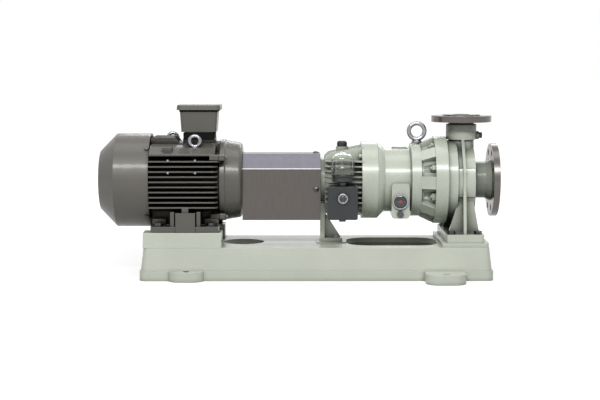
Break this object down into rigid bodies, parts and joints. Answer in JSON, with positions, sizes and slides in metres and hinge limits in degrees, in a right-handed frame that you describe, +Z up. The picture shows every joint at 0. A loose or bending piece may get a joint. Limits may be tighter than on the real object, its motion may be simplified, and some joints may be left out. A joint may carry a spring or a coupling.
{
  "type": "magnetic drive pump",
  "caption": "Horizontal magnetic drive process pump with a finned motor, guarded jaw coupling, oiler, lantern and flanged volute on a cast baseplate.",
  "frame": {"origin": "centre of the baseplate's underside, below the shaft line", "axes": "+X along the shaft out of the suction flange, +Z up out of the discharge flange, motor at -X"},
  "size_m": [1.09, 0.456, 0.467],
  "materials": {
    "base_paint": "satin pale green enamel on cast iron",
    "pump_paint": "satin pale green enamel on cast iron",
    "motor_paint": "satin warm grey enamel",
    "stainless_sheet": "brushed stainless sheet",
    "machined_steel": "machined carbon steel",
    "coupling_iron": "machined grey iron",
    "bearing_steel": "ground bearing steel",
    "bright_zinc": "bright zinc plate",
    "grey_fixings": "painted over with the motor",
    "lamination": "stacked electrical steel",
    "copper_winding": "varnished copper wire",
    "magnet": "nickel-plated magnets",
    "bearing_ceramic": "sintered ceramic, polished",
    "elastomer": "moulded elastomer",
    "black_rubber": "nitrile rubber and fibre",
    "black_plastic": "black moulding",
    "oiler_paint": "blue-grey enamel",
    "oiler_glass": "clear glass with oil behind it"
  },
  "bodies": {
    "root": {"baseplate": "base_paint", "bearing_bracket": "pump_paint", "bearing_cover": "pump_paint", "support_foot": "pump_paint", "lantern": "pump_paint", "volute_casing": "pump_paint", "bracket_bolts": "pump_paint", "support_bolts": "pump_paint", "casing_studs_and_nuts": "pump_paint", "motor_frame": "motor_paint", "end_shield_drive": "motor_paint", "end_shield_fan": "motor_paint", "fan_cover": "motor_paint", "terminal_box": "motor_paint", "terminal_box_lid": "motor_paint", "coupling_guard": "stainless_sheet", "guard_bracket": "stainless_sheet", "containment_shell": "machined_steel", "casing_cover": "machined_steel", "wear_ring": "machined_steel", "bearing_outer_rings": "bearing_steel", "foot_bolts": "bright_zinc", "motor_lifting_eyes": "bright_zinc", "pump_lifting_eye": "bright_zinc", "guard_screws": "bright_zinc", "threaded_plugs": "bright_zinc", "leak_sight_window": "bright_zinc", "oiler_sight_plug": "bright_zinc", "end_shield_bolts": "grey_fixings", "fan_cover_screws": "grey_fixings", "stator_core": "lamination", "stator_windings": "copper_winding", "bearing_bushes": "bearing_ceramic", "lip_seal": "black_rubber", "casing_gasket": "black_rubber", "terminal_block": "black_plastic", "cable_entry_plugs": "black_plastic", "oiler_collar": "black_plastic", "oiler_block": "oiler_paint"},
    "motor_rotor": {"rotor_core": "lamination", "motor_shaft": "machined_steel", "motor_shaft_key": "machined_steel", "cooling_fan": "black_plastic", "motor_coupling_hub": "coupling_iron", "motor_bearing_inner_rings": "bearing_steel"},
    "drive_rotor": {"drive_shaft": "machined_steel", "pump_coupling_hub": "coupling_iron", "pump_shaft_key": "machined_steel", "coupling_spider": "elastomer", "drive_bearing_inner_rings": "bearing_steel", "outer_magnet_carrier": "machined_steel", "outer_magnets": "magnet"},
    "pump_rotor": {"pump_shaft": "machined_steel", "shaft_sleeves": "bearing_ceramic", "inner_magnet_rotor": "machined_steel", "inner_magnets": "magnet", "impeller": "machined_steel", "impeller_nut": "machined_steel"},
    "oiler_bottle": {"oiler_bottle": "oiler_glass"},
    "breather_cap": {"breather_cap": "black_plastic"}
  },
  "joints": [
    {"name": "motor_spin", "type": "hinge", "parent": "root", "child": "motor_rotor", "pos_m": [-0.35, 0, 0.26], "axis": [1, 0, 0], "continuous": true},
    {"name": "drive_spin", "type": "hinge", "parent": "root", "child": "drive_rotor", "pos_m": [0.08, 0, 0.26], "axis": [1, 0, 0], "continuous": true},
    {"name": "impeller_spin", "type": "hinge", "parent": "root", "child": "pump_rotor", "pos_m": [0.34, 0, 0.26], "axis": [1, 0, 0], "continuous": true},
    {"name": "oiler_bottle_lift", "type": "slide", "parent": "root", "child": "oiler_bottle", "axis": [0, 0, 1], "range_m": [0, 0.05]},
    {"name": "breather_cap_lift", "type": "slide", "parent": "root", "child": "breather_cap", "axis": [0, 0, 1], "range_m": [0, 0.02]}
  ],
  "couplings": [
    {"joint": "drive_spin", "follows": "motor_spin", "ratio": 1},
    {"joint": "impeller_spin", "follows": "motor_spin", "ratio": 1}
  ]
}
